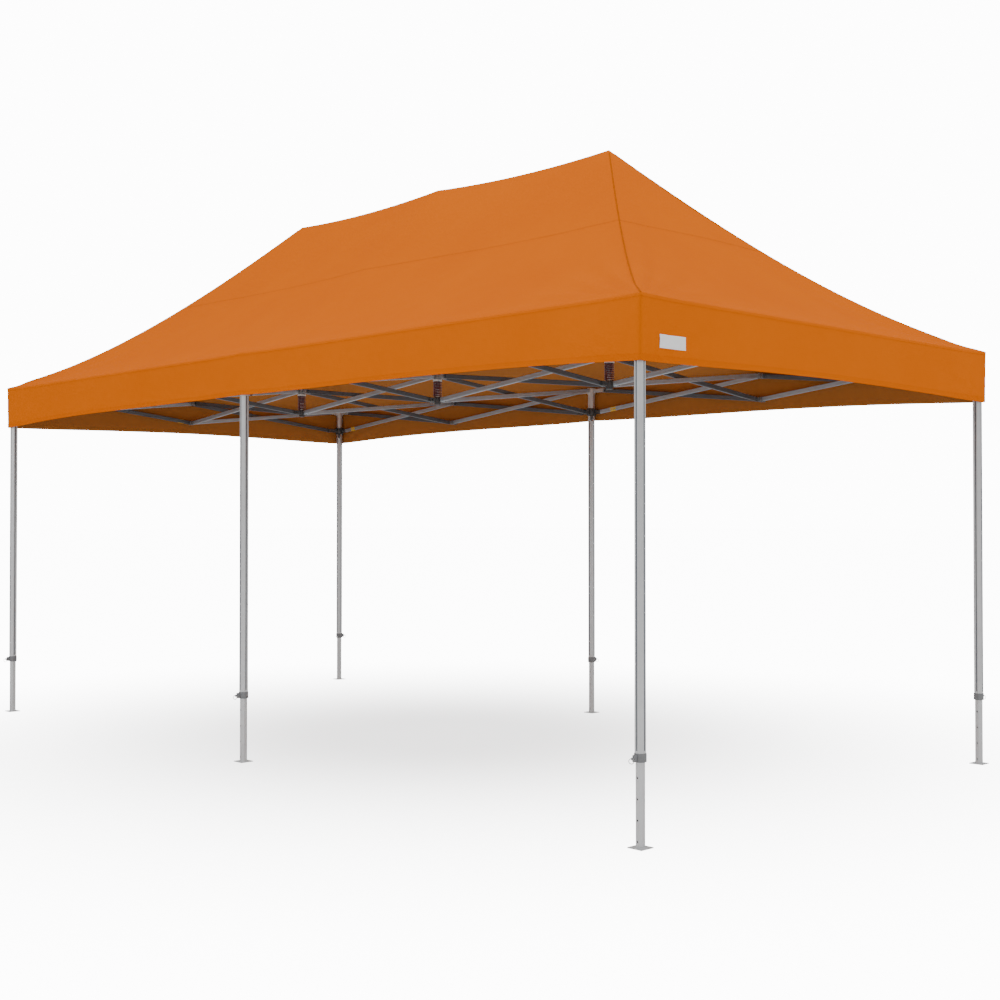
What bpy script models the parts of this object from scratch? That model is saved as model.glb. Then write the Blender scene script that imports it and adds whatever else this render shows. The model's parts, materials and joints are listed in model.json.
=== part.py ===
"""Folding shelter: a scissor-braced aluminium frame on six telescopic legs, under a three-peak fabric roof.

Units are metres and +Z is up. The origin is on the ground under the middle of the roof. The long sides
run along X. Each truss module is a crossed pair of bars: the a bar falls away from its start node and
the b bar rises. Everything in the a layer is bored, and everything in the b layer carries the pins.
"""

import math

import bmesh
import bpy
from mathutils import Matrix, Vector

# Overall layout
LEG_SPAN_X = 5.84  # between the axes of the end legs
LEG_SPAN_Y = 2.92  # between the axes of the front and back legs
UPPER_Z = 2.28  # height of every fixed truss pivot
LOWER_Z = UPPER_Z - 0.15  # height of every sliding truss pivot
EAVE_Z = UPPER_Z + 0.029
PEAK_Z = 3.456

# Roof cloth
CLOTH = 0.0014
VALANCE_DROP = 0.282  # at the four corners
LONG_ARCH = 0.046  # rise of the valance's lower edge at the middle of a long side
LONG_ARCH_POWER = 4.5  # the higher, the closer to the corners the edge comes down
SHORT_ARCH = 0.027
SHORT_ARCH_POWER = 1.6
SLOPE_SAG = 0.125  # how far a slope hangs in at half height
SAG_SKEW = 0.4  # moves the sag towards the eave
RIDGE_SAG = 0.025  # between neighbouring peaks
MIDDLE_PEAK_LIFT = 0.018
CELLS_X = 16  # roof cells along a long side
CELLS_Y = 8
ROOF_STEPS = (0.0, 0.18, 0.4, 0.65, 0.86, 1.0)  # share of the way from the eave to the ridge

# Truss bars
BAR_TALL = 0.028
BAR_THICK = 0.014
LAYER_GAP = 0.001  # between the two layers of bars
BAR_END = 0.014  # bar beyond its end pivot
PIN_R = 0.004
BORE_R = PIN_R + 0.0007
PIN_PROUD = 0.0012  # pin beyond the bored piece
PIN_SIDES = 8

# Hubs under the peaks
POLE_R = 0.0138
POLE_CLEAR = 0.0014
SLEEVE_R = POLE_R + POLE_CLEAR + 0.0038
SLEEVE_DROP = 0.08  # guide sleeve below the upper pivots
HUB_R = SLEEVE_R + 0.0035
HUB_HALF = 0.018
POLE_TOP_GAP = 0.016  # pole end under the peak of the cloth
POLE_CAP = 0.006
ROUND_SIDES = 12

# Legs
OUTER_FLATS = 0.046
OUTER_WALL = 0.0018
OUTER_FOOT_Z = 0.36
INNER_CLEAR = 0.0019  # between the inner leg and the tube around it
INNER_FLATS = OUTER_FLATS - 2 * (OUTER_WALL + INNER_CLEAR)
INNER_WALL = 0.0016
INNER_TOP_Z = 0.72
BRACKET_WALL = 0.007
BRACKET_FLATS = OUTER_FLATS + 2 * BRACKET_WALL
BRACKET_HALF = 0.021
SLIDER_WALL = 0.0072
SLIDER_CLEAR = 0.0008
SLIDER_FLATS = OUTER_FLATS + 2 * (SLIDER_CLEAR + SLIDER_WALL)
SLIDER_HALF = 0.026
LUG_HALF = 0.013
LUG_END = 0.013  # lug beyond its pivot
FOOT_SIDE = 0.078
FOOT_THICK = 0.004
HOLE_R = 0.0045
HOLE_HEIGHTS = (0.028, 0.116, 0.204, 0.292)
HOLE_SIDES = 6

# Reaches that clear the sliders, the widest things on the legs
NODE_CLEAR = 0.00320101  # between a bar's end corner and a slider
NODE_REACH = SLIDER_FLATS / 2 + math.hypot(BAR_END, BAR_TALL / 2) + NODE_CLEAR  # from an axis to its pivots
OVERHANG = SLIDER_FLATS / 2 + 0.004  # roof edge beyond the leg axes

HALF_X = LEG_SPAN_X / 2
HALF_Y = LEG_SPAN_Y / 2
PEAK_X = LEG_SPAN_X / 4
LAYER_Y = {"a": (LAYER_GAP / 2, LAYER_GAP / 2 + BAR_THICK), "b": (-LAYER_GAP / 2 - BAR_THICK, -LAYER_GAP / 2)}

LEGS = {
    "front_left": (-HALF_X, -HALF_Y),
    "front_mid": (0, -HALF_Y),
    "front_right": (HALF_X, -HALF_Y),
    "back_left": (-HALF_X, HALF_Y),
    "back_mid": (0, HALF_Y),
    "back_right": (HALF_X, HALF_Y),
}
HUBS = {"left": (-PEAK_X, 0), "mid": (0, 0), "right": (PEAK_X, 0)}

# Each run of trusses: name, start node, end node, heading in degrees, its module numbers in order,
# and how many reaches its end pivots stand out from the start node and from the end node.
RUNS = [
    ("cross", "mid", "front_mid", -90, (1,), 1, 1),
    ("cross", "mid", "back_mid", 90, (2,), 1, 1),
    ("ridge", "mid", "left", 180, (1,), 1, 1),
    ("ridge", "mid", "right", 0, (2,), 1, 1),
    ("front", "front_mid", "front_left", 180, (2, 1), 2, 2),
    ("front", "front_mid", "front_right", 0, (3, 4), 2, 2),
    ("back", "back_mid", "back_left", 180, (2, 1), 2, 2),
    ("back", "back_mid", "back_right", 0, (3, 4), 2, 2),
    ("left", "front_left", "back_left", 90, (1, 2), 2, 2),
    ("right", "front_right", "back_right", 90, (1, 2), 2, 2),
]
# Lugs on the outer hubs for the lighter side trusses: hub, heading in degrees
SPARE_LUGS = [("left", -90), ("left", 90), ("left", 180), ("right", -90), ("right", 90), ("right", 0)]

COLOURS = {
    "cloth": ((0.82, 0.24, 0.018), 0.75, 0.0),
    "aluminium": ((0.62, 0.63, 0.64), 0.35, 1.0),
    "plastic": ((0.035, 0.037, 0.04), 0.55, 0.0),
}


def clear_scene():
    for obj in list(bpy.data.objects):
        bpy.data.objects.remove(obj)


def material_for(name, kind):
    colour, roughness, metallic = COLOURS[kind]
    material = bpy.data.materials.new(name)
    material.use_nodes = True
    shader = material.node_tree.nodes["Principled BSDF"]
    shader.inputs["Base Color"].default_value = (*colour, 1)
    shader.inputs["Roughness"].default_value = roughness
    shader.inputs["Metallic"].default_value = metallic
    return material


def mesh_object(name, points, faces):
    mesh = bpy.data.meshes.new(name)
    mesh.from_pydata([tuple(p) for p in points], [], faces)
    shape = bmesh.new()
    shape.from_mesh(mesh)
    bmesh.ops.remove_doubles(shape, verts=shape.verts, dist=1e-6)
    bmesh.ops.recalc_face_normals(shape, faces=shape.faces)
    shape.to_mesh(mesh)
    shape.free()
    obj = bpy.data.objects.new(name, mesh)
    bpy.context.scene.collection.objects.link(obj)
    return obj


def prism(outline, low, high):
    """A solid between two heights with this outline in X and Y."""
    n = len(outline)
    points = [(x, y, z) for z in (low, high) for x, y in outline]
    sides = [(i, (i + 1) % n, n + (i + 1) % n, n + i) for i in range(n)]
    return mesh_object("prism", points, [tuple(range(n)), tuple(range(n, 2 * n)), *sides])


def lathe(profile):
    """A turned solid about Z from a list of (radius, height), closed at both ends on the axis."""
    turns = [2 * math.pi * k / ROUND_SIDES for k in range(ROUND_SIDES)]
    points = [(r * math.cos(t), r * math.sin(t), z) for r, z in profile for t in turns]
    n, rows = ROUND_SIDES, len(profile)
    faces = [tuple(range(n)), tuple(range((rows - 1) * n, rows * n))]
    for row in range(rows - 1):
        for i in range(n):
            j = (i + 1) % n
            faces.append((row * n + i, row * n + j, (row + 1) * n + j, (row + 1) * n + i))
    return mesh_object("turned", points, faces)


def box(x, y, z):
    """A block between the two limits given for each axis."""
    low, high = sorted(x), sorted(y)
    return prism([(low[0], high[0]), (low[1], high[0]), (low[1], high[1]), (low[0], high[1])], *z)


def polygon(flats, sides):
    """A regular outline with a flat facing along each axis."""
    r = flats / 2 / math.cos(math.pi / sides)
    turns = [2 * math.pi * (k + 0.5) / sides for k in range(sides)]
    return [(r * math.cos(t), r * math.sin(t)) for t in turns]


def rod_along_y(radius, x, z, y, sides=PIN_SIDES):
    turns = [2 * math.pi * (k + 0.5) / sides for k in range(sides)]
    rim = [(x + radius * math.cos(t), z + radius * math.sin(t)) for t in turns]
    points = [(px, yy, pz) for yy in y for px, pz in rim]
    skin = [(i, (i + 1) % sides, sides + (i + 1) % sides, sides + i) for i in range(sides)]
    return mesh_object("rod", points, [tuple(range(sides)), tuple(range(sides, 2 * sides)), *skin])


def turned(obj, heading):
    """Turns a shape's own points about Z."""
    obj.data.transform(Matrix.Rotation(math.radians(heading), 4, "Z"))
    return obj


def combine(target, tools, operation):
    """Joins each tool to the target, or cuts it away."""
    for tool in tools:
        modifier = target.modifiers.new("combine", "BOOLEAN")
        modifier.operation, modifier.solver, modifier.object = operation, "EXACT", tool
        graph = bpy.context.evaluated_depsgraph_get()
        made = bpy.data.meshes.new_from_object(target.evaluated_get(graph))
        target.modifiers.clear()
        target.data = made
        bpy.data.objects.remove(tool)
    return target


def finish(obj, name, kind, axis_point, origin):
    """Names the piece, moves its own origin to `origin` and gives it its material."""
    obj.name = obj.data.name = name
    obj.data.transform(Matrix.Translation(Vector(axis_point) - Vector(origin)))
    obj.location = origin
    obj.data.materials.clear()
    obj.data.materials.append(material_for(name, kind))
    for polygon_face in obj.data.polygons:
        polygon_face.material_index = 0
    return obj


# Trusses ------------------------------------------------------------------------------------------


def run_layout(run):
    """Start of the pivots, heading vector, module length between pivots, and tilt of the bars."""
    name, start, end, heading, modules, start_reach, end_reach = run
    nodes = {**LEGS, **HUBS}
    first, last = Vector(nodes[start]), Vector(nodes[end])
    ahead = Vector((math.cos(math.radians(heading)), math.sin(math.radians(heading))))
    module = ((last - first).dot(ahead) - (start_reach + end_reach) * NODE_REACH) / len(modules)
    tilt = math.atan2(UPPER_Z - LOWER_Z, module)
    return first + ahead * start_reach * NODE_REACH, ahead, module, tilt


def bar_mesh(layer, length):
    """A bar along X from its start pivot at 0: the a bar has three bores and the b bar three pins."""
    y = LAYER_Y[layer]
    bar = box((-BAR_END, length + BAR_END), y, (-BAR_TALL / 2, BAR_TALL / 2))
    pivots = (0, length / 2, length)
    if layer == "a":
        rods = [rod_along_y(BORE_R, x, 0, (y[0] - 0.01, y[1] + 0.01)) for x in pivots]
        return combine(bar, rods, "DIFFERENCE")
    far = LAYER_Y["a"][1] + PIN_PROUD
    rods = [rod_along_y(PIN_R, x, 0, (y[0] + BAR_THICK / 2, far)) for x in pivots]
    return combine(bar, rods, "UNION")


def build_trusses():
    made = {}
    for run in RUNS:
        first, ahead, module, tilt = run_layout(run)
        for number, step in zip(run[4], range(len(run[4])), strict=True):
            for layer, height, slope in (("a", UPPER_Z, tilt), ("b", LOWER_Z, -tilt)):
                length = math.hypot(module, UPPER_Z - LOWER_Z)
                key = layer, round(length, 6)
                if key not in made:
                    made[key] = bar_mesh(layer, length)
                    bar = made[key]
                else:
                    bar = bpy.data.objects.new("bar", made[key].data.copy())
                    bpy.context.scene.collection.objects.link(bar)
                name = f"{run[0]}_bar_{number}{layer}"
                start = first + ahead * module * step
                finish(bar, name, "aluminium", (0, 0, 0), (0, 0, 0))
                bar.location = (*start, height)
                bar.rotation_euler = (0, slope, math.radians(run[3]))


# Nodes of the frame -------------------------------------------------------------------------------


def lugs_at(node, spare=()):
    """(heading, side, reach) of each lug: side is 1 where a run starts and -1 where it ends."""
    found = [(run[3], 1, run[5] * NODE_REACH) for run in RUNS if run[1] == node]
    found += [(run[3], -1, run[6] * NODE_REACH) for run in RUNS if run[2] == node]
    return found + [(heading, 1, NODE_REACH) for heading in spare]


def with_lugs(body, node, upper, root, spare=()):
    """Adds the lugs of one node at height 0: pins where an a bar ends, bores where a b bar ends."""
    plates, pins, bores = [], [], []
    for heading, side, reach in lugs_at(node, spare):
        pinned = upper == (side > 0)
        y = LAYER_Y["b" if pinned else "a"]
        plates.append(turned(box((side * root, side * (reach + LUG_END)), y, (-LUG_HALF, LUG_HALF)), heading))
        x = side * reach
        if pinned:
            far = LAYER_Y["a"][1] + PIN_PROUD
            pins.append(turned(rod_along_y(PIN_R, x, 0, (y[0] + BAR_THICK / 2, far)), heading))
        else:
            bores.append(turned(rod_along_y(BORE_R, x, 0, (y[0] - 0.01, y[1] + 0.01)), heading))
    combine(body, plates, "UNION")
    combine(body, pins, "UNION")
    return combine(body, bores, "DIFFERENCE")


def joint_point(node, height):
    """Where this node's own hinge is: the last pivot of the first run that ends at it."""
    for run in RUNS:
        if run[2] == node:
            first, ahead, module, _ = run_layout(run)
            return (*(first + ahead * module * len(run[4])), height)
    return (*HUBS[node], height)


def build_legs():
    for name, place in LEGS.items():
        tube = prism(polygon(OUTER_FLATS, 8), OUTER_FOOT_Z - UPPER_Z, 0)
        combine(tube, [prism(polygon(BRACKET_FLATS, 8), -BRACKET_HALF, BRACKET_HALF)], "UNION")
        cavity = prism(polygon(OUTER_FLATS - 2 * OUTER_WALL, 8), -UPPER_Z, -BRACKET_HALF - 0.01)
        combine(tube, [cavity], "DIFFERENCE")
        with_lugs(tube, name, True, BRACKET_FLATS / 2 - 0.006)
        finish(tube, f"leg_{name}", "aluminium", (*place, UPPER_Z), joint_point(name, UPPER_Z))

        slider = prism(polygon(SLIDER_FLATS, 8), -SLIDER_HALF, SLIDER_HALF)
        bore = prism(polygon(OUTER_FLATS + 2 * SLIDER_CLEAR, 8), -2 * SLIDER_HALF, 2 * SLIDER_HALF)
        combine(slider, [bore], "DIFFERENCE")
        with_lugs(slider, name, False, SLIDER_FLATS / 2 - 0.004)
        finish(slider, f"slider_{name}", "plastic", (*place, LOWER_Z), joint_point(name, LOWER_Z))

        inner = prism(polygon(INNER_FLATS, 8), FOOT_THICK / 2, INNER_TOP_Z)
        half = FOOT_SIDE / 2
        combine(inner, [box((-half, half), (-half, half), (0, FOOT_THICK))], "UNION")
        bore = prism(polygon(INNER_FLATS - 2 * INNER_WALL, 8), FOOT_THICK * 1.5, 2 * INNER_TOP_Z)
        combine(inner, [bore], "DIFFERENCE")
        holes = [rod_along_y(HOLE_R, 0, z, (-FOOT_SIDE, 0), HOLE_SIDES) for z in HOLE_HEIGHTS]
        combine(inner, holes, "DIFFERENCE")
        finish(inner, f"inner_leg_{name}", "aluminium", (*place, 0), (*place, 0))


def build_hubs():
    hole = (POLE_R + POLE_CLEAR) * 2
    for name, place in HUBS.items():
        spare = [heading for hub, heading in SPARE_LUGS if hub == name]
        sleeve = [(SLEEVE_R, -SLEEVE_DROP), (SLEEVE_R, -HUB_HALF), (HUB_R, -HUB_HALF), (HUB_R, HUB_HALF)]
        upper = lathe(sleeve)
        with_lugs(upper, name, True, HUB_R * 0.8, spare)
        combine(upper, [prism(polygon(hole, ROUND_SIDES), -1, 1)], "DIFFERENCE")
        finish(upper, f"hub_upper_{name}", "plastic", (*place, UPPER_Z), joint_point(name, UPPER_Z))

        lower = lathe([(HUB_R, -HUB_HALF), (HUB_R, HUB_HALF)])
        with_lugs(lower, name, False, HUB_R * 0.8, spare)
        combine(lower, [prism(polygon(hole, ROUND_SIDES), -1, 1)], "DIFFERENCE")
        finish(lower, f"hub_lower_{name}", "plastic", (*place, LOWER_Z), joint_point(name, LOWER_Z))

        top = peak_height(place[0]) - POLE_TOP_GAP
        pole = lathe([
            (POLE_R, LOWER_Z - HUB_HALF),
            (POLE_R, top - POLE_CAP),
            (POLE_R * 0.6, top),
        ])
        base = (*place, LOWER_Z)
        finish(pole, f"peak_pole_{name}", "aluminium", (*place, 0), base)


# Roof cloth ---------------------------------------------------------------------------------------


def peak_height(x):
    """Height of the ridge: three peaks with a slight sag between them."""
    share = min(1.0, abs(x) / PEAK_X)
    return PEAK_Z + MIDDLE_PEAK_LIFT * (1 - share) - RIDGE_SAG * 4 * share * (1 - share)


def roof_point(side, along, climb):
    """A point of the cloth: side 0 front, 1 right, 2 back, 3 left; along -1..1; climb 0 eave to 1 ridge."""
    half_x = HALF_X + OVERHANG - (HALF_X + OVERHANG - PEAK_X) * climb
    half_y = (HALF_Y + OVERHANG) * (1 - climb)
    turn = 1 if side < 2 else -1
    x, y = (along * half_x, -half_y) if side in (0, 2) else (half_x, along * half_y)
    ridge = peak_height(abs(x) / half_x * PEAK_X)
    sag = SLOPE_SAG * 4 * climb * (1 - climb) * (1 + SAG_SKEW * (0.5 - climb))
    z = EAVE_Z + (ridge - EAVE_Z) * climb - sag
    return Vector((turn * x, turn * y, z))


def valance_drop(side, along):
    """Depth of the valance: deepest at the corners and arched between them."""
    if side in (0, 2):
        return VALANCE_DROP - LONG_ARCH * (1 - abs(along) ** LONG_ARCH_POWER)
    return VALANCE_DROP - SHORT_ARCH * (1 - abs(along) ** SHORT_ARCH_POWER)


def inward(side, point, depth, down):
    """The matching point on the inner face of the cloth."""
    half_x, half_y = HALF_X + OVERHANG - depth, HALF_Y + OVERHANG - depth
    return Vector((max(-half_x, min(half_x, point.x)), max(-half_y, min(half_y, point.y)), point.z - down))


def build_canopy():
    stations = []
    for side, cells in enumerate((CELLS_X, CELLS_Y, CELLS_X, CELLS_Y)):
        stations += [(side, -1 + 2 * k / cells) for k in range(cells)]
    count = len(stations)
    outer, inner = [], []
    for climb in ROOF_STEPS[::-1]:
        for side, along in stations:
            point = roof_point(side, along, climb)
            outer.append(point)
            inner.append(inward(side, point, CLOTH, CLOTH * 1.25))
    for side, along in stations:
        point = roof_point(side, along, 0)
        point.z -= valance_drop(side, along)
        outer.append(point)
        inner.append(inward(side, point, CLOTH, 0))
    rows = len(ROOF_STEPS) + 1
    faces = []
    for start in (0, rows * count):
        for row in range(rows - 1):
            for i in range(count):
                j = (i + 1) % count
                a, b = start + row * count, start + (row + 1) * count
                faces.append((a + i, a + j, b + j, b + i))
    last = (rows - 1) * count
    for i in range(count):
        j = (i + 1) % count
        faces.append((last + i, last + j, rows * count + last + j, rows * count + last + i))
    canopy = mesh_object("canopy", outer + inner, faces)
    shape = bmesh.new()
    shape.from_mesh(canopy.data)
    bmesh.ops.dissolve_degenerate(shape, edges=shape.edges, dist=1e-7)
    bmesh.ops.triangulate(shape, faces=shape.faces)
    bmesh.ops.recalc_face_normals(shape, faces=shape.faces)
    shape.to_mesh(canopy.data)
    shape.free()
    finish(canopy, "canopy", "cloth", (0, 0, 0), (0, 0, 0))


clear_scene()
build_trusses()
build_legs()
build_hubs()
build_canopy()
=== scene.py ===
"""The looks of the folding shelter: coated cloth roof, anodised bars and legs, moulded fittings."""

import json
import math

import bmesh
import bpy
import numpy as np
from mathutils import Matrix, Vector

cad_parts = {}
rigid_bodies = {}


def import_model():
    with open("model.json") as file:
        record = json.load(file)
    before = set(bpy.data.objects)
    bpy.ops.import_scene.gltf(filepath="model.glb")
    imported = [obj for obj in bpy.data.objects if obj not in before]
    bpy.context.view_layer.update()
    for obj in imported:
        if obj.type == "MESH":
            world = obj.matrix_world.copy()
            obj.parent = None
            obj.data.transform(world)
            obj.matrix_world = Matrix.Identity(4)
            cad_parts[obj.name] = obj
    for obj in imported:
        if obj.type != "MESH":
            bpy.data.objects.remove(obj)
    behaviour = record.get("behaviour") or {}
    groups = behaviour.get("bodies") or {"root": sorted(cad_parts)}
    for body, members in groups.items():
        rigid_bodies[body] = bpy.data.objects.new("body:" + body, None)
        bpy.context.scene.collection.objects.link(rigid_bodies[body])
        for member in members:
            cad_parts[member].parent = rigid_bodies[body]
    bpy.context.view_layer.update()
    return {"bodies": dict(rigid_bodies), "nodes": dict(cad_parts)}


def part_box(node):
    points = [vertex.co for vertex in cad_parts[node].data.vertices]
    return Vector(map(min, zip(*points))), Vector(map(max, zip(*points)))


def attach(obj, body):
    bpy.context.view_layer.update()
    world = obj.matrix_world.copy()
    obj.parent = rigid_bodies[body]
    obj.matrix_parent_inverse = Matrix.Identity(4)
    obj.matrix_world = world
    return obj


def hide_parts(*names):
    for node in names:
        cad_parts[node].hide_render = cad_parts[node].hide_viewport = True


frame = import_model()
BODIES = frame["bodies"]

# The roof
ROOF_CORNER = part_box("canopy")[1]
HALF_X, HALF_Y = ROOF_CORNER.x, ROOF_CORNER.y
PEAK_X = (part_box("peak_pole_right")[0].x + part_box("peak_pole_right")[1].x) / 2
EAVE_Z = 2.306
FOLDED_Z = 2.312  # the cloth lies here, just over the hubs, when the frame is folded
POLE_DROP = 1.2075  # how far the lower hubs and the poles sink on the way
PEAK_Z = 3.456
VALANCE_DROP = 0.282  # at the four corners
LONG_ARCH = (0.046, 4.5)  # rise of the lower edge at a side's middle, and how late it comes down
SHORT_ARCH = (0.027, 1.6)
SLOPE_SAG = 0.125  # how far a slope hangs in at half height
SAG_SKEW = 0.4  # moves the sag towards the eave
EAVE_DIP = 0.007  # how far the eave hangs between the legs
RIDGE_SAG = 0.025
MIDDLE_PEAK_LIFT = 0.018
CLOTH_THICK = 0.0008
FRONT, RIGHT, BACK, LEFT = range(4)  # the sides of the roof
SIDE_CELLS = {FRONT: 168, RIGHT: 84, BACK: 168, LEFT: 84}
SLOPE_ROWS, VALANCE_ROWS, HIP_ROWS = 44, 18, 60
HIPS = (  # each hip, as the end of one side and the start of the next
    (FRONT, 1, RIGHT, -1),
    (FRONT, -1, LEFT, 1),
    (BACK, 1, LEFT, -1),
    (BACK, -1, RIGHT, 1),
)
HIP_TOP = 0.985  # the climb where a hip's seam ends
SEAM_HALF = 0.0055
LAP = ((0.597, 0.0009), (0.6, 0.0014), (0.603, 0.0009))  # climb and lift across the lap seam
HEM = (0.9, 0.93, 0.96, 1.0)

# The frame
LEGS = ("front_left", "front_mid", "front_right", "back_left", "back_mid", "back_right")
HUBS = ("left", "mid", "right")


def middle(node):
    low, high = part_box(node)
    return (low + high) / 2


AXIS = {n: Vector((middle(f"inner_leg_{n}").x, middle(f"inner_leg_{n}").y, 0)) for n in LEGS}
POLE = {n: Vector((middle(f"peak_pole_{n}").x, middle(f"peak_pole_{n}").y, 0)) for n in HUBS}
TRUSS_RISE = 0.15  # between the upper and the lower pivots
UPPER_Z = middle("front_bar_1a").z + TRUSS_RISE / 2
LOWER_Z = UPPER_Z - TRUSS_RISE
PIVOT_REACH = 0.054  # from a hub's axis to its pivots
BAR_LENGTH = math.hypot(PEAK_X - 2 * PIVOT_REACH, TRUSS_RISE)  # between a bar's end pivots
BAR_TILT = math.asin(TRUSS_RISE / BAR_LENGTH)
BAR_END = 0.014  # bar beyond its end pivot
BAR_THICK, BAR_TALL = 0.014, 0.028
BANDS = {"left_bar_1a": 0.93, "back_bar_1a": 0.93, "right_bar_1a": 0.93, "back_bar_3b": 0.08}
TUBE_HALF = 0.0233  # from a leg's axis to the flats of its grooved sleeve
OCTAGON_TURN = math.pi / 8  # puts a flat of an eight-sided primitive square to the axes


# Materials ----------------------------------------------------------------------------------------


def linear(code):
    """An sRGB hex colour as linear values."""
    parts = [int(code[i : i + 2], 16) / 255 for i in (0, 2, 4)]
    return (*[c / 12.92 if c <= 0.04045 else ((c + 0.055) / 1.055) ** 2.4 for c in parts], 1)


def add(tree, kind, links=(), **values):
    """Adds a node, sets its inputs by name, and links (output, input name) pairs into it."""
    node = tree.nodes.new(kind)
    for key, value in values.items():
        if hasattr(node, key):
            setattr(node, key, value)
        else:
            node.inputs[key.replace("_", " ")].default_value = value
    for output, name in links:
        tree.links.new(output, node.inputs[name])
    return node


def start_material(name):
    made = bpy.data.materials.new(name)
    made.use_nodes = True
    tree = made.node_tree
    place = add(tree, "ShaderNodeTexCoord").outputs["Object"]
    return made, tree, tree.nodes["Principled BSDF"], place


def spread(tree, factor, low, high):
    """A value that runs from low to high with the factor."""
    node = add(tree, "ShaderNodeMapRange", [(factor, "Value")])
    node.inputs["To Min"].default_value, node.inputs["To Max"].default_value = low, high
    return node.outputs[0]


def clouded(tree, factor, first, second):
    """A colour that drifts between two linear ones with the factor."""
    node = add(tree, "ShaderNodeMix", [(factor, "Factor")], data_type="RGBA")
    node.inputs[6].default_value, node.inputs[7].default_value = first, second
    return node.outputs[2]


def cloth_material(name, colour, shade, through_share=0.05):
    """PU-coated polyester, plain weave: a fine weave that breaks up the highlight, faint cloudiness
    of the coating, and a little light that comes through. The threads are drawn coarser than real
    ones, which would be lost."""
    made, tree, shader, place = start_material(name)
    cloud = add(tree, "ShaderNodeTexNoise", [(place, "Vector")], Scale=2.2, Detail=4.0)
    tint = clouded(tree, cloud.outputs["Fac"], linear(colour), linear(shade))
    tree.links.new(tint, shader.inputs["Base Color"])
    threads = [
        add(
            tree,
            "ShaderNodeTexWave",
            [(place, "Vector")],
            Scale=330.0,
            Distortion=0.4,
            bands_direction=direction,
        ).outputs["Fac"]
        for direction in "XZ"
    ]
    weave = add(tree, "ShaderNodeMath", [(threads[0], 0), (threads[1], 1)], operation="ADD")
    slack = add(tree, "ShaderNodeTexNoise", [(place, "Vector")], Scale=5.5, Detail=3.0)
    woven = [(weave.outputs[0], "Height")]
    fine = add(tree, "ShaderNodeBump", woven, Strength=0.12, Distance=0.0003)
    creased = [(slack.outputs["Fac"], "Height"), (fine.outputs[0], "Normal")]
    bump = add(tree, "ShaderNodeBump", creased, Strength=0.35, Distance=0.012)
    tree.links.new(bump.outputs[0], shader.inputs["Normal"])
    shader.inputs["Roughness"].default_value = 0.8
    shader.inputs["Specular IOR Level"].default_value = 0.03
    through = add(tree, "ShaderNodeBsdfTranslucent", [(tint, "Color")])
    both = add(tree, "ShaderNodeMixShader", [(shader.outputs[0], 1), (through.outputs[0], 2)])
    both.inputs[0].default_value = through_share
    tree.links.new(both.outputs[0], tree.nodes["Material Output"].inputs["Surface"])
    return made


def aluminium_material(name, colour, rough, draw):
    """Anodised aluminium extrusion: fine drawing lines along `draw`, and a cloudy satin finish."""
    made, tree, shader, place = start_material(name)
    stretch = add(tree, "ShaderNodeMapping", [(place, "Vector")])
    stretch.inputs["Scale"].default_value = tuple(4.0 if k == draw else 900.0 for k in range(3))
    lines = add(tree, "ShaderNodeTexNoise", [(stretch.outputs[0], "Vector")], Scale=1.0, Detail=3.0)
    cloud = add(tree, "ShaderNodeTexNoise", [(place, "Vector")], Scale=14.0, Detail=5.0)
    darker = tuple(c * 0.86 for c in linear(colour)[:3]) + (1,)
    tint = clouded(tree, cloud.outputs["Fac"], linear(colour), darker)
    tree.links.new(tint, shader.inputs["Base Color"])
    gloss = spread(tree, lines.outputs["Fac"], rough - 0.07, rough + 0.1)
    tree.links.new(gloss, shader.inputs["Roughness"])
    drawn = [(lines.outputs["Fac"], "Height")]
    bump = add(tree, "ShaderNodeBump", drawn, Strength=0.15, Distance=0.0002)
    tree.links.new(bump.outputs[0], shader.inputs["Normal"])
    shader.inputs["Metallic"].default_value = 0.6
    return made


def plastic_material(name, colour, rough, grain=1400.0):
    """Injection-moulded nylon: a fine spark-eroded grain with slightly uneven gloss."""
    made, tree, shader, place = start_material(name)
    pits = add(tree, "ShaderNodeTexVoronoi", [(place, "Vector")], Scale=grain)
    cloud = add(tree, "ShaderNodeTexNoise", [(place, "Vector")], Scale=28.0, Detail=4.0)
    lighter = tuple(min(1, c * 1.25) for c in linear(colour)[:3]) + (1,)
    tint = clouded(tree, cloud.outputs["Fac"], linear(colour), lighter)
    tree.links.new(tint, shader.inputs["Base Color"])
    gloss = spread(tree, cloud.outputs["Fac"], rough - 0.06, rough + 0.08)
    tree.links.new(gloss, shader.inputs["Roughness"])
    grained = [(pits.outputs["Distance"], "Height")]
    bump = add(tree, "ShaderNodeBump", grained, Strength=0.25, Distance=0.0002)
    tree.links.new(bump.outputs[0], shader.inputs["Normal"])
    return made


CLOTH = cloth_material("coated_polyester", "EB7300", "E36B00")
# The underside is drawn darker and browner than the top: painted shade under the roof.
UNDER_PAINTED_SHADE = cloth_material("underside_painted_shade", "B8763C", "AF6F38", 0.02)
SEAM = cloth_material("seam_tape_polyester", "E66F00", "DD6700")
LAP_SEAM = cloth_material("lap_seam_thread", "E56F00", "DC6900")
# The hip seams are drawn darker than the cloth: painted shade of the crease along each hip.
HIP_SEAM_PAINTED_SHADE = cloth_material("hip_seam_painted_shade", "CA6200", "C05C00")
BAR = aluminium_material("anodised_extrusion", "B9C2CB", 0.36, 0)
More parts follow.
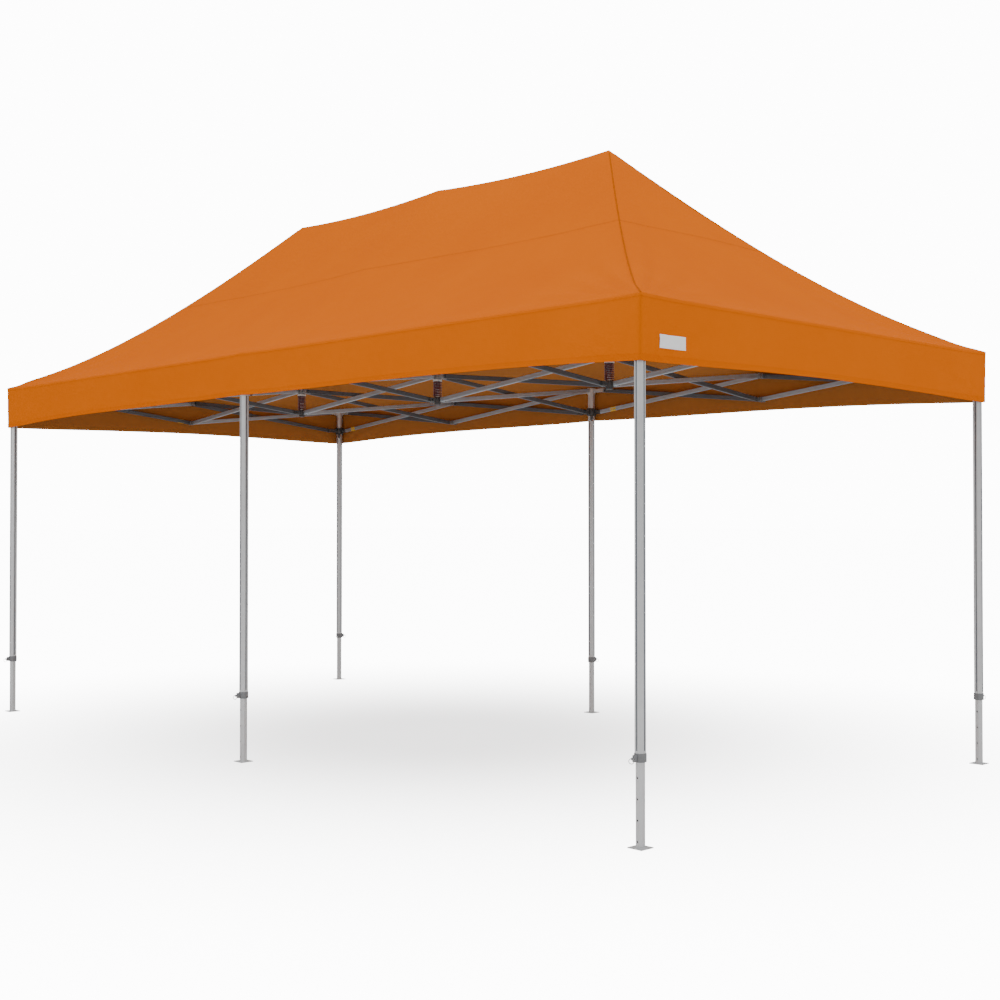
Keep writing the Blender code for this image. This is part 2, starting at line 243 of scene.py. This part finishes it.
# Painted shade: a darker copy of the bar finish, for the bars and leg slots that lie in shade.
BAR_PAINTED_SHADE = aluminium_material("extrusion_painted_shade", "6A7077", 0.4, 0)
TUBE = aluminium_material("anodised_leg_tube", "E2E3E4", 0.3, 2)
INNER = aluminium_material("bright_inner_tube", "E4E5E6", 0.28, 2)
STEEL = aluminium_material("zinc_plated_steel", "B4B5B6", 0.3, 1)
PLASTIC = plastic_material("moulded_nylon_dark", "4A4B4D", 0.5)
FITTING = plastic_material("moulded_nylon_grey", "5E5F61", 0.48)
CLAMP = plastic_material("moulded_nylon_clamp", "77787A", 0.46)
PALE = plastic_material("moulded_nylon_pale", "D2D2CF", 0.5)
CAST = aluminium_material("die_cast_hub", "A5A6A8", 0.45, 2)
SPRING = plastic_material("powder_coated_spring_wire", "5E1724", 0.38, 2200.0)
BAND = plastic_material("yellow_film_band", "E2B81E", 0.42, 3000.0)
LABEL = plastic_material("plain_woven_patch", "FBFAF8", 0.6, 2600.0)


# Modelling helpers --------------------------------------------------------------------------------


def settle(obj, name, material):
    """Puts the piece's place into its mesh, recalculates its normals and gives it its material."""
    bpy.context.view_layer.update()
    obj.data.transform(obj.matrix_world)
    obj.matrix_world = Matrix.Identity(4)
    obj.name = obj.data.name = name
    obj.data.materials.clear()
    obj.data.materials.append(material)
    shape = bmesh.new()
    shape.from_mesh(obj.data)
    bmesh.ops.recalc_face_normals(shape, faces=shape.faces)
    shape.to_mesh(obj.data)
    shape.free()
    obj.data.shade_smooth()
    obj.data.set_sharp_from_angle(angle=math.radians(35))
    return obj


def copy_of(obj, name, matrix):
    made = bpy.data.objects.new(name, obj.data.copy())
    bpy.context.scene.collection.objects.link(made)
    made.data.transform(matrix)
    made.data.name = name
    return made


def edit(obj, wanted):
    """Opens the piece for editing with the faces chosen by wanted(face) selected."""
    bpy.ops.object.select_all(action="DESELECT")
    bpy.context.view_layer.objects.active = obj
    obj.select_set(True)
    for face in obj.data.polygons:
        face.select = wanted(face)
    for edge in obj.data.edges:
        edge.select = False
    for vertex in obj.data.vertices:
        vertex.select = False
    for face in obj.data.polygons:
        if face.select:
            for index in face.vertices:
                obj.data.vertices[index].select = True
    bpy.ops.object.mode_set(mode="EDIT")
    bpy.ops.mesh.select_mode(type="FACE")


def inset_and_push(thickness, depth, each=True):
    """Insets the selected faces and moves them out by depth, or in where it is below zero."""
    bpy.ops.mesh.inset(thickness=thickness, use_individual=each)
    bpy.ops.mesh.extrude_region_shrink_fatten(TRANSFORM_OT_shrink_fatten={"value": depth})


def close_edit():
    bpy.ops.object.mode_set(mode="OBJECT")


def bevelled(obj, width, segments=2):
    modifier = obj.modifiers.new("soft edges", "BEVEL")
    modifier.width, modifier.segments, modifier.limit_method = width, segments, "ANGLE"
    bpy.ops.object.select_all(action="DESELECT")
    bpy.context.view_layer.objects.active = obj
    obj.select_set(True)
    bpy.ops.object.modifier_apply(modifier=modifier.name)
    return obj


def block(size, place, bevel=0.0015):
    bpy.ops.mesh.primitive_cube_add(size=1, location=place)
    obj = bpy.context.object
    obj.scale = size
    bpy.ops.object.transform_apply(scale=True)
    return bevelled(obj, bevel)


def drum(radius, depth, place, sides=32, axis="Z", bevel=0.001):
    turn = {"X": (0, math.pi / 2, 0), "Y": (math.pi / 2, 0, 0), "Z": (0, 0, 0)}[axis]
    bpy.ops.mesh.primitive_cylinder_add(
        vertices=sides, radius=radius, depth=depth, location=place, rotation=turn
    )
    return bevelled(bpy.context.object, bevel)


def joined(parts):
    bpy.ops.object.select_all(action="DESELECT")
    for part in parts:
        part.select_set(True)
    bpy.context.view_layer.objects.active = parts[0]
    bpy.ops.object.join()
    return bpy.context.object


def follow(obj, body, share, inverse=None, group=None):
    """Adds a hook, so that the piece takes this share of a body's motion."""
    hook = obj.modifiers.new("follow " + body, "HOOK")
    hook.object, hook.strength, hook.falloff_type = BODIES[body], share, "NONE"
    hook.matrix_inverse = inverse or Matrix.Identity(4)
    hook.center = (0, 0, 0)
    if group is None:
        group = obj.vertex_groups.new(name="all " + body)
        group.add(range(len(obj.data.vertices)), 1.0, "REPLACE")
    hook.vertex_group = group.name


# Truss bars ---------------------------------------------------------------------------------------


def make_bar():
    """One extruded bar along X, from its start pivot at 0: rounded edges, a sunk channel with a
    raised rib along both broad faces, and a riveted washer at each pivot."""
    bar = block((BAR_LENGTH + 2 * BAR_END, BAR_THICK, BAR_TALL), (BAR_LENGTH / 2, 0, 0), 0.0011)
    edit(bar, lambda face: abs(face.normal.y) > 0.9 and face.area > 0.01)
    inset_and_push(0.0036, 0.0009)
    inset_and_push(0.0042, -0.0009)
    close_edit()
    pins = (0, BAR_LENGTH / 2, BAR_LENGTH)
    washers = [drum(0.0082, 0.0164, (x, 0, 0), 24, "Y", 0.0008) for x in pins]
    return settle(joined([bar, *washers]), "bar_master", BAR)


def bar_place(node):
    """A CAD bar's centre, heading in degrees and layer, read from its own points and name."""
    points = np.array([v.co for v in frame["nodes"][node].data.vertices])
    layer = node[-1]
    low, high = points.min(0), points.max(0)
    along_x = high[0] - low[0] > high[1] - low[1]
    axis = 0 if along_x else 1
    across = 1 - axis
    body = points[np.abs(points[:, axis] - low[axis]) < 0.02]
    falls = body[:, 2].mean() > (low[2] + high[2]) / 2  # higher at the low end of the axis
    heading = (0 if along_x else 90) if falls == (layer == "a") else (180 if along_x else -90)
    centre = (low + high) / 2
    # The box's middle isn't the bar's where a pin stands out, so the thickness is read at the ends.
    to_ends = np.minimum(points[:, axis] - low[axis], high[axis] - points[:, axis])
    ends = points[to_ends < 0.004]
    centre[across] = (ends[:, across].min() + ends[:, across].max()) / 2
    centre[2] = UPPER_Z - TRUSS_RISE / 2
    return Vector(centre), heading, layer


def bar_turn(heading, layer):
    """The a bars fall along their heading and the b bars rise."""
    slope = BAR_TILT if layer == "a" else -BAR_TILT
    return Matrix.Rotation(math.radians(heading), 4, "Z") @ Matrix.Rotation(slope, 4, "Y")


def dress_bars():
    master = make_bar()
    made = {}
    for node in sorted(frame["nodes"]):
        if "_bar_" not in node:
            continue
        centre, heading, layer = bar_place(node)
        matrix = Matrix.Translation(centre) @ bar_turn(heading, layer)
        matrix = matrix @ Matrix.Translation((-BAR_LENGTH / 2, 0, 0))
        bar = copy_of(master, f"look_{node}", matrix)
        # One bar of each crossed pair is drawn darker, as painted shade: the one that falls towards
        # +X or +Y.
        if (heading in (0, 90)) == (layer == "a"):
            bar.data.materials[0] = BAR_PAINTED_SHADE
        made[node] = bar
        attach(bar, node)
        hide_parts(node)
    bpy.data.objects.remove(master)
    # The lighter trusses beside the outer hubs: each is a middle bar moved along the ridge.
    for side, shift in (("left", -PEAK_X), ("right", PEAK_X)):
        runs = ("cross_bar_1", "cross_bar_2", "ridge_bar_1" if side == "left" else "ridge_bar_2")
        for source in [run + layer for run in runs for layer in "ab"]:
            bar = copy_of(made[source], f"side_{side}_{source}", Matrix.Translation((shift, 0, 0)))
            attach(bar, "roof_hub")
            follow(bar, source, 1.0, Matrix.Translation((-shift, 0, 0)))
            follow(bar, f"hub_upper_{side}", 1.0, Matrix.Translation((shift, 0, 0)))


def make_side_brackets():
    """The moulded brackets where two perimeter trusses meet a side truss."""
    spots = []
    for y, row in ((AXIS["front_mid"].y, "front"), (AXIS["back_mid"].y, "back")):
        for x, side in ((-PEAK_X, "left"), (PEAK_X, "right")):
            spots.append((Vector((x, y, 0)), f"{row}_mid", f"{row}_{side}", 0 if y < 0 else 180))
    for x, side in ((AXIS["front_left"].x, "left"), (AXIS["front_right"].x, "right")):
        spots.append((Vector((x, 0, 0)), f"front_{side}", f"back_{side}", 90 if x > 0 else -90))
    for place, first, second, heading in spots:
        for height, kind in ((UPPER_Z, "leg"), (LOWER_Z, "slider")):
            # In its own frame the truss runs along X and the bracket's arm points to +Y.
            parts = [
                block((0.034, 0.005, 0.032), (0, 0.0182, 0), 0.002),
                block((0.034, 0.004, 0.032), (0, -0.0176, 0), 0.0016),
                block((0.007, 0.036, 0.026), (0.0115, 0.038, 0), 0.0016),
                drum(0.006, 0.044, (0, 0.001, 0), 24, "Y"),
                drum(0.0055, 0.011, (0.0115, 0.05, 0), 20, "X"),
            ]
            made = joined(parts)
            turn = Matrix.Rotation(math.radians(heading), 4, "Z")
            spot = Matrix.Translation(place + Vector((0, 0, height)))
            made.matrix_world = spot @ turn @ made.matrix_world
            settle(made, f"bracket_{kind}_{first}_{second}", CLAMP)
            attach(made, "roof_hub")
            follow(made, f"{kind}_{first}", 0.5)
            follow(made, f"{kind}_{second}", 0.5)


# Legs, sliders, hubs ------------------------------------------------------------------------------


def make_leg_trim():
    for name in LEGS:
        x, y = AXIS[name].x, AXIS[name].y
        outward_x = 0 if name.endswith("mid") else (1 if x > 0 else -1)
        outward_y = -1 if y < 0 else 1
        tube_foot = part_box(f"leg_{name}")[0].z
        # Grooved sleeve over the plain outer tube: eight flats with sunk panels between beads.
        bpy.ops.mesh.primitive_cylinder_add(
            vertices=8,
            radius=TUBE_HALF / math.cos(math.pi / 8),
            depth=1.69,
            location=(x, y, tube_foot + 0.03 + 0.845),
            rotation=(0, 0, OCTAGON_TURN),
            end_fill_type="NOTHING",
        )
        tube = bpy.context.object
        edit(tube, lambda face: abs(face.normal.z) < 0.5)
        inset_and_push(0.0028, -0.0002)
        close_edit()
        settle(tube, f"tube_beads_{name}", TUBE)
        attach(tube, f"leg_{name}")

        # Painted shade of the extrusion's slots: thin dark strips, one down the middle of each main
        # flat.
        parts = []
        for out_x, out_y in ((1, 0), (-1, 0), (0, 1), (0, -1)):
            size = (0.0004, 0.0064, 1.66) if out_x else (0.0064, 0.0004, 1.66)
            place = (x + TUBE_HALF * out_x, y + TUBE_HALF * out_y, tube_foot + 0.045 + 0.83)
            parts.append(block(size, place, 0.0001))
        slots = settle(joined(parts), f"tube_slot_painted_shade_{name}", BAR_PAINTED_SHADE)
        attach(slots, f"leg_{name}")

        # Height clamp round the bottom of the outer tube, with its lever and pull ring.
        ring = drum(0.0282, 0.037, (x, y, tube_foot + 0.0155), 8, "Z", 0.0022)
        ring.rotation_euler = (0, 0, OCTAGON_TURN)
        edit(ring, lambda face: abs(face.normal.z) > 0.9 and face.area > 0.001)
        inset_and_push(0.0075, -0.004, each=False)
        close_edit()
        lever = block((0.014, 0.022, 0.03), (x, y + outward_y * 0.034, tube_foot + 0.015), 0.003)
        button = drum(0.006, 0.014, (x, y + outward_y * 0.049, tube_foot + 0.015), 20, "Y", 0.0015)
        clamp = settle(joined([ring, lever, button]), f"height_clamp_{name}", CLAMP)
        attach(clamp, f"leg_{name}")
        bpy.ops.mesh.primitive_torus_add(
            major_radius=0.011,
            minor_radius=0.0015,
            major_segments=28,
            minor_segments=8,
            location=(x, y + outward_y * 0.057, tube_foot + 0.0055),
            rotation=(math.pi / 2, 0, 0.5),
        )
        pull = settle(bpy.context.object, f"pull_ring_{name}", STEEL)
        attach(pull, f"leg_{name}")

        # Moulded cap over the top bracket.
        cap = drum(0.0312, 0.012, (x, y, UPPER_Z + 0.0155), 8, "Z", 0.003)
        cap.rotation_euler = (0, 0, OCTAGON_TURN)
        cap = settle(cap, f"top_cap_{name}", FITTING)
        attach(cap, f"leg_{name}")

        # Pull knob under the slider, on the flat that faces between its two lugs.
        parts = [
            block((0.014, 0.022, 0.034), (0.0372, 0, -0.006), 0.003),
            drum(0.0095, 0.03, (0.0385, 0, -0.037), 24, "Z", 0.002),
            drum(0.0062, 0.012, (0.0385, 0, -0.057), 16, "Z", 0.001),
        ]
        knob = joined(parts)
        facing = math.atan2(-outward_y, -outward_x or 1)
        spot = Matrix.Translation((x, y, LOWER_Z))
        knob.matrix_world = spot @ Matrix.Rotation(facing, 4, "Z") @ knob.matrix_world
        knob = settle(knob, f"slider_knob_{name}", PLASTIC)
        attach(knob, f"slider_{name}")


def make_spring(name):
    """A coil spring round the guide sleeve, from the lower hub to the upper hub's pale cup."""
    x, y = POLE[name].x, POLE[name].y
    low, high, turns, radius, wire = LOWER_Z + 0.02, UPPER_Z - 0.03, 10, 0.0262, 0.0029
    steps, sides = turns * 28, 8
    points, faces = [], []
    for k in range(steps + 1):
        t = 2 * math.pi * turns * k / steps
        height = low + (high - low) * k / steps
        centre = Vector((x + radius * math.cos(t), y + radius * math.sin(t), height))
        out = Vector((math.cos(t), math.sin(t), 0))
        for s in range(sides):
            u = 2 * math.pi * s / sides
            points.append(centre + out * wire * math.cos(u) + Vector((0, 0, wire * math.sin(u))))
    for k in range(steps):
        for s in range(sides):
            n = (s + 1) % sides
            faces.append((k * sides + s, k * sides + n, (k + 1) * sides + n, (k + 1) * sides + s))
    faces += [tuple(range(sides)), tuple(range(steps * sides, (steps + 1) * sides))]
    mesh = bpy.data.meshes.new("spring")
    mesh.from_pydata([tuple(p) for p in points], [], faces)
    obj = bpy.data.objects.new("spring", mesh)
    bpy.context.scene.collection.objects.link(obj)
    obj = settle(obj, f"spring_{name}", SPRING)
    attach(obj, "roof_hub" if name == "mid" else f"hub_upper_{name}")


def make_hub_trim():
    for name in HUBS:
        x, y = POLE[name].x, POLE[name].y
        upper = "roof_hub" if name == "mid" else f"hub_upper_{name}"
        make_spring(name)
        # Pale cup that the spring bears on.
        bpy.ops.mesh.primitive_cylinder_add(
            vertices=40, radius=0.029, depth=0.012, location=(x, y, UPPER_Z - 0.026)
        )
        cup = bpy.context.object
        edit(cup, lambda face: face.normal.z < -0.9)
        inset_and_push(0.003, -0.007, each=False)
        close_edit()
        cup = settle(bevelled(cup, 0.0008), f"spring_cup_{name}", PALE)
        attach(cup, upper)
        # Collar that clamps the pole in the lower hub, and the domed pole tip.
        collar = drum(0.019, 0.014, (x, y, LOWER_Z - 0.024), 36, "Z", 0.003)
        tip_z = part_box(f"peak_pole_{name}")[1].z
        tip = drum(0.0142, 0.014, (x, y, tip_z - 0.009), 32, "Z", 0.0045)
        for piece, label in ((collar, "pole_collar"), (tip, "pole_tip")):
            piece = settle(piece, f"{label}_{name}", PLASTIC)
            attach(piece, f"hub_lower_{name}")


# Cloth --------------------------------------------------------------------------------------------


def ridge_height(x):
    share = min(1.0, abs(x) / PEAK_X)
    return PEAK_Z + MIDDLE_PEAK_LIFT * (1 - share) - RIDGE_SAG * 4 * share * (1 - share)


def is_long(side):
    return side in (FRONT, BACK)


def half_side(side):
    """Half the length of a side's eave."""
    return HALF_X if is_long(side) else HALF_Y


def ripple(side, along, climb):
    """Drag lines that fan from the corners and shallow waves just above the eave, in metres."""
    edge = 1 - abs(along)
    reach = half_side(side) * edge
    up = climb * 1.9
    far = math.hypot(reach, up)
    fan = math.sin(15 * math.atan2(up, reach + 0.02) + 2.2 * side + 1.3 * math.copysign(1, along))
    pull = 0.0075 * fan * math.exp(-((far / 0.8) ** 2)) * min(1, far / 0.12)
    phase = 17 * along * half_side(side) + 1.7 * side
    wave = 0.003 * math.sin(phase) * math.sin(0.37 * phase + 1) * math.exp(-climb / 0.09)
    swells = 2 if is_long(side) else 1
    broad = 0.006 * math.sin(3.1 * along * swells + side) * math.sin(math.pi * climb)
    return pull + wave + broad * climb


def roof_point(side, along, climb, lift=0.0):
    """A point of the roof: along runs from -1 to 1 on its side, climb from 0 at the eave to 1."""
    half_x = HALF_X - (HALF_X - PEAK_X) * climb
    half_y = HALF_Y * (1 - climb)
    turn = 1 if side in (FRONT, RIGHT) else -1
    x, y = (along * half_x, -half_y) if is_long(side) else (half_x, along * half_y)
    ridge = ridge_height(abs(x) / max(half_x, 1e-6) * PEAK_X)
    sag = SLOPE_SAG * 4 * climb * (1 - climb) * (1 + SAG_SKEW * (0.5 - climb))
    z = EAVE_Z + (ridge - EAVE_Z) * climb - sag
    z += ripple(side, along, climb) * min(1, 8 * (1 - climb), 14 * climb) + lift
    # Between the legs the eave hangs a little lower than at their tops.
    edge = half_side(side)
    propped = math.exp(-(1 - abs(along)) * edge / 0.12)
    if is_long(side):
        propped += math.exp(-abs(along) * edge / 0.15)
    z -= EAVE_DIP * (1 - min(1, propped)) * (1 - climb) ** 3
    return Vector((turn * x, turn * y, z))


def valance_depth(side, along):
    rise, power = LONG_ARCH if is_long(side) else SHORT_ARCH
    return VALANCE_DROP - rise * (1 - abs(along) ** power)


def valance_point(side, along, drop, lift=0.0):
    """A point of the valance, drop from 0 at the eave to 1 at the hem."""
    point = roof_point(side, along, 0)
    reach = half_side(side)
    sway = 0.0035 * math.sin(4.1 * along * reach + side) + 0.0015 * math.sin(11.3 * along * reach)
    off = (1 - abs(along)) * reach
    corner = min(1, off / 0.12)
    # Short drag lines that fan down from the corner, and fine puckers under the eave.
    fan = math.sin(24 * math.atan2((1.15 - drop) * VALANCE_DROP, off + 0.03) + 2 * side)
    fan += 0.7 * math.sin(31 * math.atan2(drop * VALANCE_DROP + 0.03, off + 0.02) + side)
    sway -= 0.0055 * (1 + fan / 1.7) * math.exp(-((off / 0.45) ** 2)) * min(1, off / 0.04)
    puckers = math.sin(34 * along * reach + 3 * math.sin(5 * along * reach))
    sway += 0.0016 * puckers * math.exp(-drop / 0.35)
    inset = 0.004 + sway * corner
    turn = 1 if side in (FRONT, RIGHT) else -1
    push = (lift - inset * drop) * turn
    tuck = inset * drop * max(0, abs(along) - 0.99) / 0.01
    if is_long(side):
        point.y -= push
        point.x -= math.copysign(tuck, point.x)
    else:
        point.x += push
        point.y -= math.copysign(tuck, point.y)
    point.z -= drop * valance_depth(side, along)
    return point


def grid_piece(name, rows, material, thick=0, loop=False):
    """A sheet through rows of points, whose ends meet where it is a loop."""
    count = len(rows[0])
    points = [tuple(p) for row in rows for p in row]
    faces = []
    for r in range(len(rows) - 1):
        for i in range(count if loop else count - 1):
            j = (i + 1) % count
            faces.append((r * count + i, r * count + j, (r + 1) * count + j, (r + 1) * count + i))
    mesh = bpy.data.meshes.new(name)
    mesh.from_pydata(points, [], faces)
    obj = bpy.data.objects.new(name, mesh)
    bpy.context.scene.collection.objects.link(obj)
    shape = bmesh.new()
    shape.from_mesh(mesh)
    bmesh.ops.remove_doubles(shape, verts=shape.verts, dist=1e-5)
    bmesh.ops.recalc_face_normals(shape, faces=shape.faces)
    top = max(shape.faces, key=lambda f: f.calc_center_median().z)
    if top.normal.z < 0:
        bmesh.ops.reverse_faces(shape, faces=shape.faces)
    shape.to_mesh(mesh)
    shape.free()
    mesh.materials.append(material)
    mesh.shade_smooth()
    if thick:
        solid = obj.modifiers.new("cloth thickness", "SOLIDIFY")
        solid.thickness, solid.offset, solid.material_offset = thick, -1, 1
        mesh.materials.append(UNDER_PAINTED_SHADE)
    return obj


def follow_frame(obj):
    """The cloth goes with the leg tops at its eave and with the poles at its ridge, and folds flat
    over the hubs."""
    weights = {}
    sides = {"left": -1, "mid": 0, "right": 1}
    for vertex in obj.data.vertices:
        x, y, z = vertex.co
        climb = max(0.0, min(1.0, 1 - abs(y) / HALF_Y, (HALF_X - abs(x)) / (HALF_X - PEAK_X)))
        out_x = max(-1.0, min(1.0, x / (HALF_X - (HALF_X - PEAK_X) * climb)))
        out_y = max(-1.0, min(1.0, y / max(1e-6, HALF_Y * (1 - climb))))
        sinks = max(0.0, min(climb, (z - FOLDED_Z - 0.02 * climb) / POLE_DROP))
        for side, sign in sides.items():
            near = max(0.0, 1 - abs(out_x - sign))
            for row, share in (("front", (1 - out_y) / 2), ("back", (1 + out_y) / 2)):
                weight = near * share * (1 - climb)
                weights.setdefault(f"leg_{row}_{side}", {})[vertex.index] = weight
            weights.setdefault(f"hub_lower_{side}", {})[vertex.index] = near * sinks
            if side != "mid":
                weight = near * (climb - sinks)
                weights.setdefault(f"hub_upper_{side}", {})[vertex.index] = weight
    for body, found in weights.items():
        group = obj.vertex_groups.new(name=body)
        for index, weight in found.items():
            if weight > 1e-4:
                group.add([index], weight, "REPLACE")
        follow(obj, body, 1.0, group=group)


def keep_cloth(obj):
    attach(obj, "roof_hub")
    follow_frame(obj)
    # The hooks come before the thickness.
    while obj.modifiers and obj.modifiers[0].type == "SOLIDIFY":
        bpy.context.view_layer.objects.active = obj
        first, last = obj.modifiers[0].name, len(obj.modifiers) - 1
        bpy.ops.object.modifier_move_to_index(modifier=first, index=last)
    return obj


def stations_of(side):
    """Places along a side, crowded towards its corners, where the drag lines are."""
    evenly = [-1 + 2 * k / SIDE_CELLS[side] for k in range(SIDE_CELLS[side])]
    return [(side, math.sin(math.pi / 2 * t) * 0.35 + t * 0.65) for t in evenly]


def hip_strip(side, along, next_side, next_along):
    """The felled seam over a hip, from the eave almost to the peak."""
    strip = []
    for row in range(HIP_ROWS + 1):
        climb = row / HIP_ROWS * HIP_TOP
        near = SEAM_HALF / max(0.05, (HALF_X - (HALF_X - PEAK_X) * climb))
        near_next = min(0.9, SEAM_HALF / max(0.02, HALF_Y * (1 - climb)))
        strip.append(
            [
                roof_point(side, along * (1 - near), climb, 0.0012),
                roof_point(side, along, climb, 0.0022),
                roof_point(next_side, next_along * (1 - near_next), climb, 0.0012),
            ]
        )
    return strip


def make_seams(stations):
    seams = []
    for number, (side, along, next_side, next_along) in enumerate(HIPS, 1):
        strip = hip_strip(side, along, next_side, next_along)
        # Each hip seam carries painted shade, darker than the cloth, for the crease along the hip.
        seams.append(grid_piece(f"hip_seam_{number}", strip, HIP_SEAM_PAINTED_SHADE))
    # Lap seam between the lower and the upper panels of the roof.
    lap = [[roof_point(s, a, climb, lift) for s, a in stations] for climb, lift in LAP]
    seams.append(grid_piece("panel_seam", lap, LAP_SEAM, loop=True))
    # The doubled hem round the valance.
    hem = [[valance_point(s, a, drop, 0.0012) for s, a in stations] for drop in HEM]
    seams.append(grid_piece("valance_hem", hem, SEAM, loop=True))
    # The eave's seam starts on the valance, below zero, and ends on the roof.
    eave = []
    for step in (-0.05, -0.025, 0, 0.004, 0.008):
        point = roof_point if step > 0 else valance_point
        eave.append([point(s, a, abs(step), 0.0014) for s, a in stations])
    seams.append(grid_piece("eave_seam", eave, CLOTH, loop=True))
    return seams


def make_patch():
    """Plain patch on the right end's valance, next to the near corner."""
    across = [-1 + 2 * (0.0411 + k * 0.00582) for k in range(11)]
    down = (0.57, 0.64, 0.71, 0.78)
    rows = [[valance_point(RIGHT, along, drop, 0.002) for along in across] for drop in down]
    return grid_piece("plain_patch", rows, LABEL)


def make_cloth():
    stations = [place for side in SIDE_CELLS for place in stations_of(side)]
    climbs = [1 - (k / SLOPE_ROWS) ** 1.25 for k in range(SLOPE_ROWS + 1)]
    drops = [k / VALANCE_ROWS for k in range(1, VALANCE_ROWS + 1)]
    rows = [[roof_point(s, a, climb) for s, a in stations] for climb in climbs]
    rows += [[valance_point(s, a, drop) for s, a in stations] for drop in drops]
    roof = grid_piece("roof_cover", rows, CLOTH, CLOTH_THICK, True)
    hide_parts("canopy")
    trim = [*make_seams(stations), make_patch()]
    for piece in trim:
        keep_cloth(piece)
    keep_cloth(roof)


# Bands on the bars --------------------------------------------------------------------------------


def make_bands():
    for node, share in BANDS.items():
        centre, heading, layer = bar_place(node)
        # Flush on the side where the other layer's bars pass when the frame is folded.
        aside = 0.0005 if layer == "a" else -0.0005
        # A little larger than the bar all round.
        size = (0.05, 0.0145, 0.0288)
        band = block(size, ((share - 0.5) * BAR_LENGTH, aside, 0), 0.0003)
        spot = Matrix.Translation(centre) @ bar_turn(heading, layer)
        band.matrix_world = spot @ band.matrix_world
        band = settle(band, f"band_{node}", BAND)
        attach(band, node)


def dress_nodes():
    finishes = {
        "leg_": TUBE,
        "inner_leg_": INNER,
        "slider_": PLASTIC,
        "hub_lower_": PLASTIC,
        "hub_upper_": CAST,
        "peak_pole_": TUBE,
    }
    for name, node in frame["nodes"].items():
        for prefix, material in finishes.items():
            if name.startswith(prefix):
                node.data.materials.clear()
                node.data.materials.append(material)
                soft = node.modifiers.new("soft edges", "BEVEL")
                soft.width, soft.segments = 0.0006, 1
                soft.limit_method, soft.angle_limit = "ANGLE", math.radians(50)


# Camera, floor and light --------------------------------------------------------------------------


def stage_set():
    camera = bpy.data.objects.new("camera", bpy.data.cameras.new("camera"))
    camera.data.lens, camera.data.sensor_width = 50.54, 36
    camera.location = (6.715, -5.945, 1.357)
    camera.rotation_euler = (math.radians(90.858), 0, math.radians(45.93))
    bpy.context.scene.collection.objects.link(camera)
    bpy.context.scene.camera = camera

    # The floor glows for the camera: less near the middle, a painted shadow pool under the shelter,
    # and more towards its far edge, so that it meets the backdrop without a line.
    bpy.ops.mesh.primitive_plane_add(size=400, location=(0, 0, -0.001))
    floor = bpy.context.object
    floor.name = "floor"
    ground = bpy.data.materials.new("floor")
    ground.use_nodes = True
    tree = ground.node_tree
    shader = tree.nodes["Principled BSDF"]
    shader.inputs["Base Color"].default_value = (0.9, 0.9, 0.9, 1)
    shader.inputs["Roughness"].default_value = 0.8
    shader.inputs["Specular IOR Level"].default_value = 0.1
    place = add(tree, "ShaderNodeTexCoord").outputs["Object"]
    away = add(tree, "ShaderNodeVectorMath", [(place, 0)], operation="LENGTH")
    reach = [(away.outputs["Value"], "Value")]
    painted_shadow_glow = add(tree, "ShaderNodeMapRange", reach, interpolation_type="SMOOTHSTEP")
    for socket, value in (("From Min", 0.5), ("From Max", 5.2), ("To Min", 2.2), ("To Max", 12.0)):
        painted_shadow_glow.inputs[socket].default_value = value
    seen = add(tree, "ShaderNodeLightPath").outputs["Is Camera Ray"]
    both = [(painted_shadow_glow.outputs["Result"], 0), (seen, 1)]
    power = add(tree, "ShaderNodeMath", both, operation="MULTIPLY")
    shader.inputs["Emission Color"].default_value = (1, 1, 1, 1)
    tree.links.new(power.outputs[0], shader.inputs["Emission Strength"])
    floor.data.materials.append(ground)

    world = bpy.data.worlds.new("world")
    world.use_nodes = True
    tree = world.node_tree
    seen = add(tree, "ShaderNodeLightPath").outputs["Is Camera Ray"]
    backdrop = tree.nodes["Background"]
    backdrop.inputs["Color"].default_value = (1, 1, 1, 1)
    # Far brighter to the camera than to the object.
    tree.links.new(spread(tree, seen, 0.62, 13.0), backdrop.inputs["Strength"])
    bpy.context.scene.world = world
    lights = [  # name, place, size in metres and power in watts
        ("top", (1.0, -1.5, 13), 11.0, 600),
        ("key", (2.0, -15, 8), 8.0, 520),
        ("right", (15, 3, 8), 8.0, 480),
    ]
    for name, place, size, power in lights:
        light = bpy.data.lights.new(name, "AREA")
        light.size, light.energy = size, power
        lamp = bpy.data.objects.new(name, light)
        lamp.location = place
        aim = Vector((0, 0, 1.5)) - Vector(place)
        lamp.rotation_euler = aim.to_track_quat("-Z", "Y").to_euler()
        bpy.context.scene.collection.objects.link(lamp)


stage_set()
dress_nodes()
dress_bars()
make_side_brackets()
make_leg_trim()
make_hub_trim()
make_cloth()
make_bands()
bpy.context.view_layer.update()
